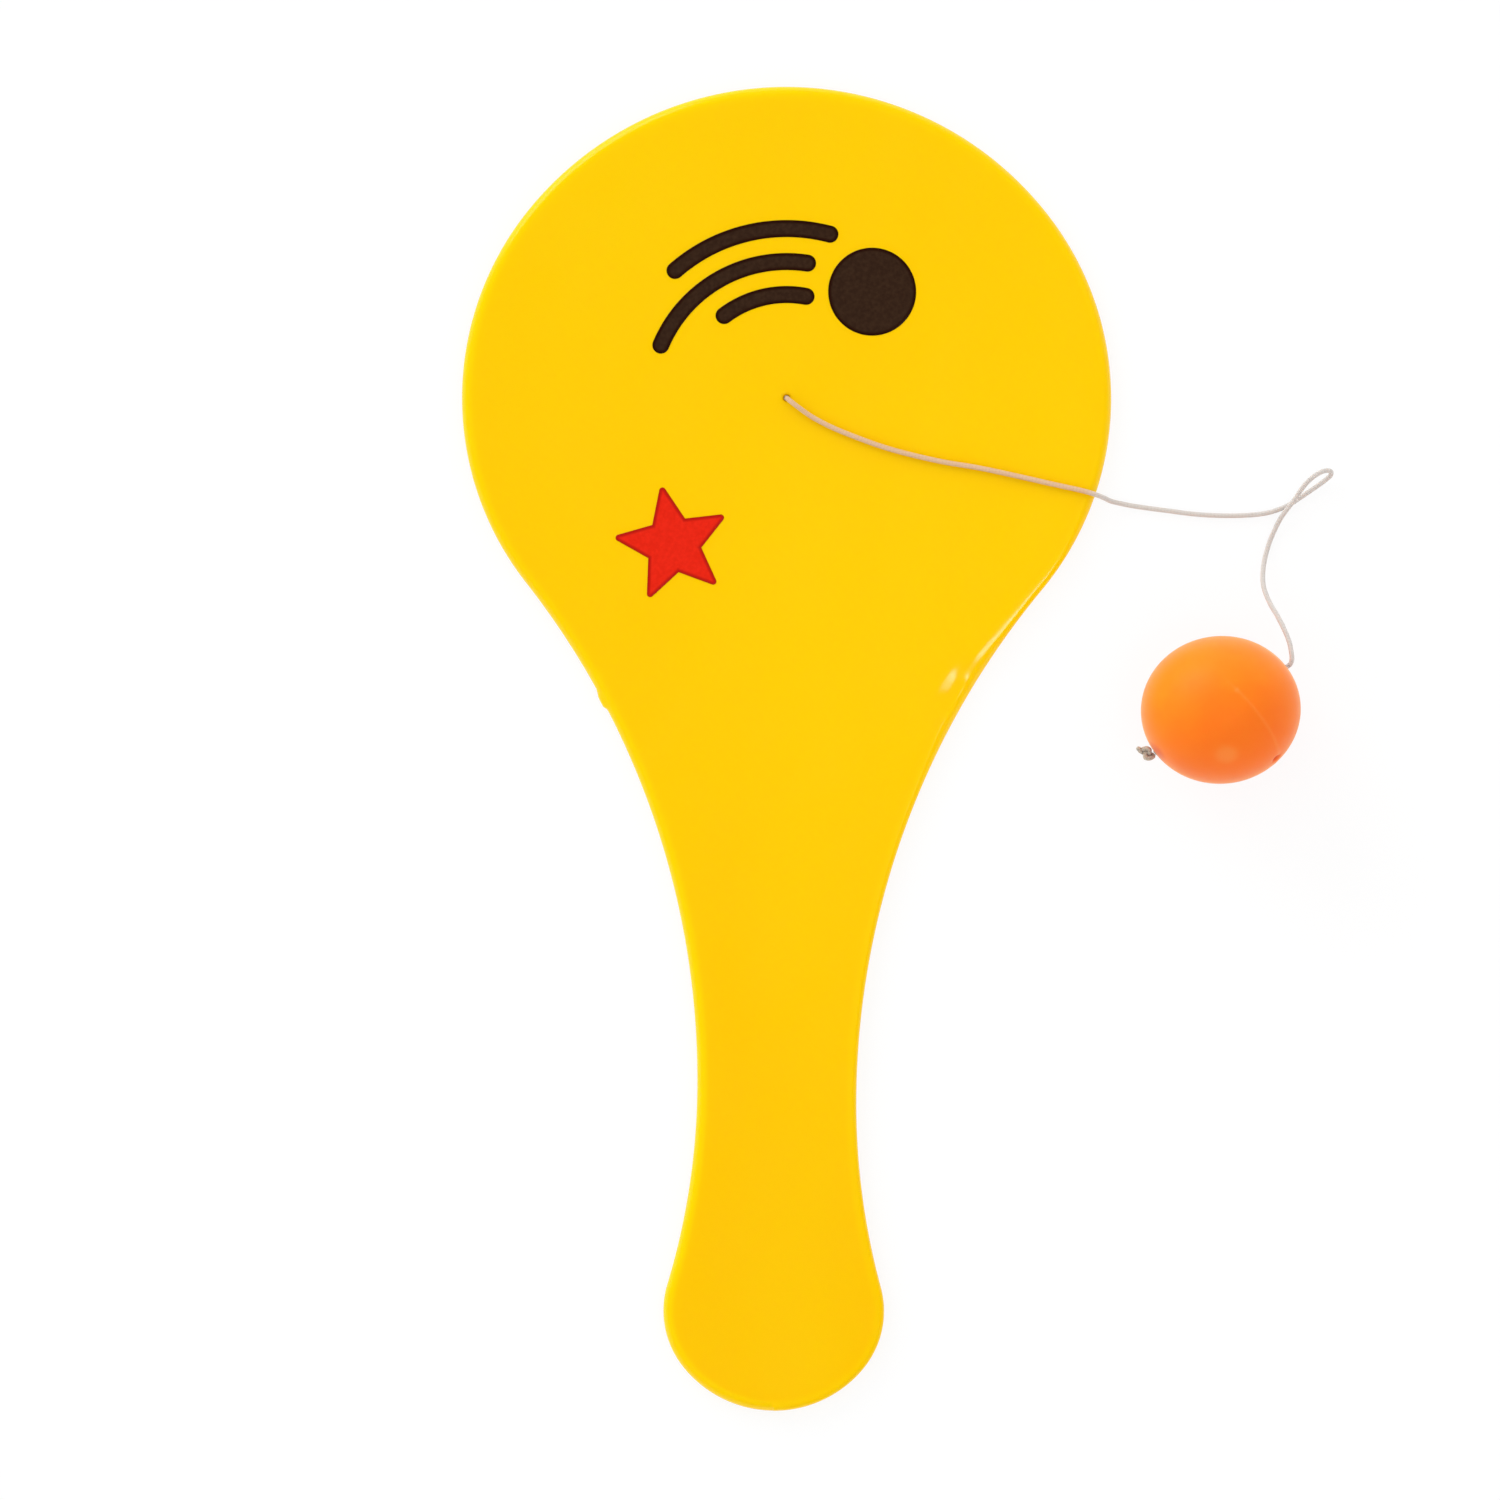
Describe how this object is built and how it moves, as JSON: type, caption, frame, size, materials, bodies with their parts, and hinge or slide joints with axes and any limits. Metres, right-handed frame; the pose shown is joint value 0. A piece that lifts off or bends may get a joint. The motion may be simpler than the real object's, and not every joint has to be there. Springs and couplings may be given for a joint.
{
  "type": "paddle ball game",
  "caption": "Flat moulded paddle with a rounded blade and a waisted grip, and a rubber ball tied through the blade on an elastic cord.",
  "frame": {"origin": "centre of the cord hole, in the plane that the back of the paddle rests on", "axes": "+Y runs from the handle to the tip of the blade, +Z leaves the printed face, and +X points to the side where the ball lies"},
  "size_m": [0.1587, 0.241, 0.029],
  "materials": {
    "paddle_plastic": "smooth moulded, glossy, yellow",
    "dark_ink": "pad printed ink, satin, dark brown",
    "red_ink": "pad printed ink, satin, red",
    "elastic": "braided cover over a rubber core, pale grey",
    "ball_rubber": "moulded rubber, satin, orange"
  },
  "bodies": {
    "paddle": {"paddle": "paddle_plastic", "print_dark": "dark_ink", "print_red": "red_ink"},
    "anchor": {"paddle_knot": "elastic", "cord_in_paddle": "elastic"},
    "tether": {"elastic_cord": "elastic"},
    "cord_end": {"cord_in_ball": "elastic", "ball_knot": "elastic"},
    "ball": {"ball": "ball_rubber"}
  },
  "joints": [
    {"name": "cord_swing", "type": "hinge", "parent": "paddle", "child": "anchor", "pos_m": [0, 0, 0], "axis": [0, 0, 1], "range_deg": [-30, 240]},
    {"name": "ball_raise", "type": "hinge", "parent": "anchor", "child": "tether", "pos_m": [0, 0, 0.004], "axis": [-0.5736, -0.8192, 0], "range_deg": [0, 150]},
    {"name": "ball_pull", "type": "slide", "parent": "tether", "child": "cord_end", "axis": [0.8192, -0.5736, 0], "range_m": [0, 0.3], "stiffness_N_per_m": 4, "deforming": ["elastic_cord"]},
    {"name": "ball_spin", "type": "hinge", "parent": "cord_end", "child": "ball", "pos_m": [0.07946, -0.05564, 0.0145], "axis": [0.829, 0.5592, 0], "continuous": true}
  ]
}
